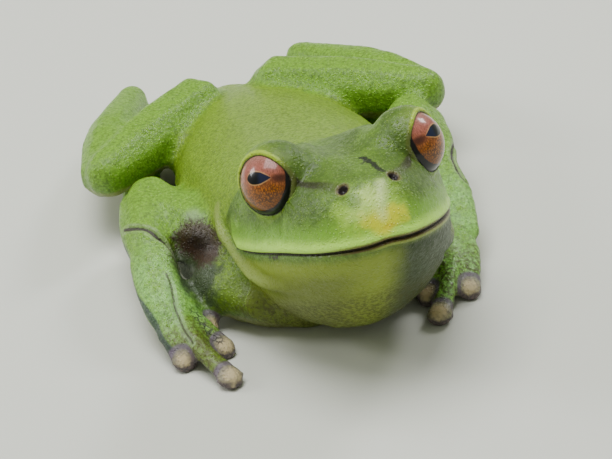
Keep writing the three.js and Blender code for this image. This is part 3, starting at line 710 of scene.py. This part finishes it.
# each coat of colour: its colour, its strength, which pattern frays its border and by how much, and
# the marks that bound it, each with the values at which the coat is absent and full
BASE_GREEN = "#4c6b18"
COATS = [
    ("#648a22", 1.0, "fleck", 0.0, [("cloud", 0.36, 0.62)]),
    ("#88ac18", 0.75, "blotch", 2.0, [("head_y", 0.0, 5.0), ("under", 0.5, -0.2)]),
    ("#7ab02a", 0.80, "blotch", 0.5, [("limb", 0.3, 0.9)]),
    # painted highlight: a pale bluish-green sheen on the upward faces of the arms and hands
    ("#9ade70", 0.70, "blotch", 2.0, [("limb", 0.4, 1.3), ("under", 0.1, -0.8), ("head_y", 11.0, 6.0)]),
    ("#30440f", 0.32, "fleck", 0.40, [("wart", 0.40, 0.66)]),
    ("#3d5618", 0.45, "blotch", 0.0, [("fleck", 0.50, 0.66)]),
    ("#35500f", 0.40, "fleck", 0.20, [("dust", 0.50, 0.64)]),
    ("#a5c24a", 0.42, "fleck", 0.30, [("wart", 0.30, 0.05)]),
    ("#8bc634", 0.74, "blotch", 1.8, [("lip", 3.8, 1.2), ("lip", -0.1, 0.2), ("limb", 0.5, 0.2)]),
    ("#a9d746", 0.80, "blotch", 1.3, [("snout", -0.2, 0.6)]),
    # painted highlight: paler green on the brows above and ahead of each eye
    ("#86a42a", 0.30, "blotch", 1.2, [("lid", 1.7, 0.6), ("lid_turn", 10.0, 60.0)]),
    # the undersides' own paler colour, toned down to a grey olive as painted shade
    ("#92935c", 0.85, "blotch", 0.8, [("under", 0.25, 0.75)]),
    ("#869826", 0.92, "blotch", 1.0, [("lip", -0.2, -1.4), ("head_z", 0.5, -1.0), ("head_y", 4.0, -2.0)]),
    ("#64701e", 0.75, "blotch", 1.2, [("head_z", -1.8, -3.4), ("head_x", -1.0, -5.0), ("head_y", 4.0, -1.0)]),
    # painted shade: the left side of the throat, darkened nearly to black olive
    ("#1f3403", 0.96, "blotch", 1.4, [("head_x", -0.9, 2.7), ("lip", -0.3, -1.0), ("limb", 0.5, 0.2)]),
    # painted shade: the lowest part of the throat is darkened, in a brownish olive
    ("#4f5024", 0.80, "blotch", 1.5, [("head_z", -4.2, -6.4), ("fleck", 0.40, 0.60), ("head_y", 4.0, 0.0)]),
    # painted shade: the flank under the arm darkened to a grey green
    ("#35402e", 0.92, "blotch", 0.9, [("flank", -0.1, 0.35)]),
    ("#c6fb5e", 0.82, "blotch", 0.7, [("lip", 1.7, 0.6), ("lip", 0.05, 0.3), ("limb", 0.5, 0.2)]),
    ("#8a9c48", 0.80, "blotch", 0.5, [("gular", 0.95, 0.45), ("limb", 0.6, 0.3), ("gular_along", 0.80, 0.5)]),
    # painted highlight: a pale grey-green on the top of the upper arm
    ("#8fab78", 0.70, "blotch", 1.3, [("shoulder", -0.1, 0.8)]),
    # the brown armpit patch: partly the skin's own brown, partly painted shade; its near-black middle is
    # painted shade
    ("#3a2418", 0.95, "fleck", 0.9, [("armpit", -0.15, 0.3)]),
    ("#1e100c", 0.75, "fleck", 0.9, [("armpit", 0.3, 0.75)]),
    ("#d8da10", 0.90, "blotch", 1.6, [("yellow", -0.3, 0.6)]),
    # the pale patch on the snout: partly the skin's own pale colour, partly a painted highlight of wet shine
    ("#e0fb8a", 0.52, "blotch", 1.3, [("white", -0.3, 0.8)]),
    ("#d2f080", 0.34, "blotch", 1.2, [("pale", -0.3, 0.7)]),
    ("#4f6c40", 0.55, "blotch", 1.6, [("blue", -0.3, 0.6)]),
    # painted highlight along the small ridge on the snout
    ("#eaffac", 0.50, "blotch", 1.2, [("ridge", 0.95, -0.1)]),
    ("#d6b41c", 0.35, "blotch", 0.7, [("orange", -0.1, 0.6)]),
    # painted shade: a wide soft olive band along the raised stripe from eye to nostril; the next coat is the
    # stripe's own dark line
    ("#404f10", 0.70, "fleck", 0.60, [("stripe", 0.95, 0.20)]),
    ("#262608", 0.95, "fleck", 0.40, [("stripe", 0.48, 0.28), ("stripe_along", 1.05, 0.40)]),
    ("#141a0a", 0.97, "fleck", 0.55, [("ink", 0.33, 0.22), ("ink_along", 1.4, 0.8)]),
    ("#2a3414", 0.85, "fleck", 0.30, [("branch", 0.20, 0.10)]),
    ("#6b6c34", 0.75, "fleck", 0.40, [("nostril", 0.92, 0.60)]),
    ("#5e3f38", 0.60, "fleck", 0.35, [("nostril", 0.72, 0.56)]),
    # painted shade: the pit of each nostril painted near-black
    ("#180c12", 0.98, "fleck", 0.20, [("nostril", 0.60, 0.48)]),
    ("#5c4420", 0.85, "fleck", 0.20, [("lip", 0.44, 0.26), ("lip", -0.42, -0.26), ("head_x", -7.0, -2.0),
        ("head_y", 1.2, 0.2), ("limb", 0.5, 0.2)]),
    ("#a2ad4a", 0.65, "fleck", 0.10, [("lip", -0.60, -0.50), ("lip", -0.26, -0.38), ("head_x", -3.0, 0.0),
        ("head_y", 1.0, -1.0)]),
    ("#2a230e", 0.92, "fleck", 0.16, [("lip", 0.18, 0.08), ("lip", -0.20, -0.10), ("limb", 0.5, 0.2),
        ("head_y", 1.2, 0.2)]),
    ("#281c10", 0.85, "fleck", 0.30, [("speck", 0.34, 0.20)]),
    ("#86ac33", 0.75, "fleck", 0.35, [("lid", 1.3, 0.5), ("lid_turn", 0.0, -40.0)]),
    ("#5a6324", 0.80, "fleck", 0.25, [("lid", 0.60, 0.25), ("lid_turn", 75.0, 25.0),
        ("lid_turn", -60.0, -15.0)]),
    ("#abc922", 0.90, "fleck", 0.20, [("lid", 0.46, 0.24), ("lid_turn", 20.0, 60.0)]),
    ("#20200c", 0.90, "fleck", 0.05, [("lid", 0.08, 0.0)]),
    # painted highlight: a pale band along the edges of the wrist crease, and painted shade in its dark core
    # below
    ("#9aa884", 0.30, "fleck", 0.35, [("crease", 0.75, 0.45)]),
    ("#35242a", 0.92, "fleck", 0.18, [("crease", 0.26, 0.14)]),
    # painted highlight beside the groove on the hand, and painted shade in its dark core below
    ("#a8c69c", 0.25, "fleck", 0.30, [("groove", 0.55, 0.35)]),
    ("#3a3420", 0.80, "fleck", 0.16, [("groove", 0.17, 0.07)]),
    ("#28343a", 0.85, "fleck", 0.40, [("outer_edge", 0.60, 0.30)]),
    ("#6b5c70", 0.85, "fleck", 0.5, [("tip", 1.95, 1.65), ("tip", 1.15, 1.35), ("under", 0.4, -0.1)]),
    ("#8d8272", 0.85, "fleck", 0.5, [("tip", 1.45, 1.15)]),
    ("#d2bf92", 0.85, "fleck", 0.8, [("tip", 1.20, 0.80), ("under", 0.1, -0.4)]),
    # painted shade on the lower, side-facing part of each disc
    ("#5d4a52", 0.80, "fleck", 0.5, [("tip", 0.85, 1.0), ("under", -0.55, -0.1), ("tip", 2.0, 1.4)]),
    ("#3c3a3c", 0.75, "fleck", 0.5, [("digit", 0.3, 0.9), ("net", 0.14, 0.03), ("under", -0.5, 0.0)]),
    ("#2e2a2c", 0.80, "fleck", 0.6, [("inner_edge", 0.75, 0.30), ("net", 0.16, 0.05)]),
]
paint_below = None
for code, strength, pattern, fray, bounds in COATS:
    name, absent, full = bounds[0]
    shift = add(tree, "Math", {"operation": "MULTIPLY_ADD", 1: fray, 2: -0.5 * fray}, {0: source[pattern]})
    value = add(tree, "Math", {"operation": "ADD"}, {0: source[name], 1: shift.outputs[0]}).outputs[0]
    edge = {**SOFT, 1: absent, 2: full, 3: 0.0, 4: strength}
    mask = add(tree, "MapRange", edge, {0: value}).outputs[0]
    for name, absent, full in bounds[1:]:
        edge = {**SOFT, 1: absent, 2: full, 3: 0.0, 4: 1.0}
        limit = add(tree, "MapRange", edge, {0: source[name]}).outputs[0]
        mask = add(tree, "Math", {"operation": "MULTIPLY"}, {0: mask, 1: limit}).outputs[0]
    links = {0: mask}
    settings = {"data_type": "RGBA", 7: colour(code)}
    if paint_below:
        links[6] = paint_below
    else:
        settings[6] = colour(BASE_GREEN)
    paint_below = add(tree, "Mix", settings, links).outputs[2]
tree.links.new(paint_below, body.inputs["Base Color"])

# relief: round warts, fine grain between them, and upright wrinkles on the loose throat; the heights
# are shares of the 1 mm that the bump stands for
WART, WRINKLE, GRIT = 0.125, 0.22, 0.16
wart_height = add(tree, "MapRange", {**SOFT, 1: 0.42, 2: 0.0, 3: 0.0, 4: 1.0}, {0: source["wart"]})
upright = {"Rotation": (0.0, 0.0, 0.25), "Scale": (900.0, 500.0, 130.0)}
throat_lines = add(tree, "Mapping", upright, {"Vector": object_place}).outputs[0]
wrinkle = add(tree, "TexNoise", {"Scale": 1.0, "Detail": 3.0, "Distortion": 0.4}, {"Vector": throat_lines})
on_throat = add(tree, "MapRange", {1: -0.4, 2: -1.6, 3: 0.0, 4: 1.0}, {0: source["lip"]})
wrinkle = add(tree, "Math", {"operation": "MULTIPLY"}, {0: wrinkle.outputs["Fac"], 1: on_throat.outputs[0]})
relief = add(tree, "Math", {"operation": "MULTIPLY", 1: WART}, {0: wart_height.outputs[0]}).outputs[0]
for height, pattern in ((WRINKLE, wrinkle.outputs[0]), (GRIT, source["fleck"])):
    relief = add(tree, "Math", {"operation": "MULTIPLY_ADD", 1: height}, {0: pattern, 2: relief}).outputs[0]
bump = add(tree, "Bump", {"Strength": 0.7, "Distance": 0.001}, {"Height": relief})
tree.links.new(bump.outputs[0], body.inputs["Normal"])
tree.links.new(bump.outputs[0], body.inputs["Coat Normal"])

# the grain breaks up the wet shine, and the throat is drier than the rest
wet = add(tree, "MapRange", {1: 0.35, 2: 0.65, 3: 0.32, 4: 0.60}, {0: source["fleck"]})
tree.links.new(wet.outputs[0], body.inputs["Roughness"])
body.inputs["Specular IOR Level"].default_value = 0.35
throat_gloss = add(tree, "MapRange", {1: 0.0, 2: 1.0, 3: 0.24, 4: 0.06}, {0: on_throat.outputs[0]})
tree.links.new(throat_gloss.outputs[0], body.inputs["Coat Weight"])
body.inputs["Coat Roughness"].default_value = 0.16
body.inputs["Subsurface Weight"].default_value = 0.15
body.inputs["Subsurface Scale"].default_value = 0.0006
body.inputs["Subsurface Radius"].default_value = (0.7, 1.0, 0.35)
skin.data.materials.clear()
skin.data.materials.append(flesh)
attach(skin, "root")
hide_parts(*FLESH)
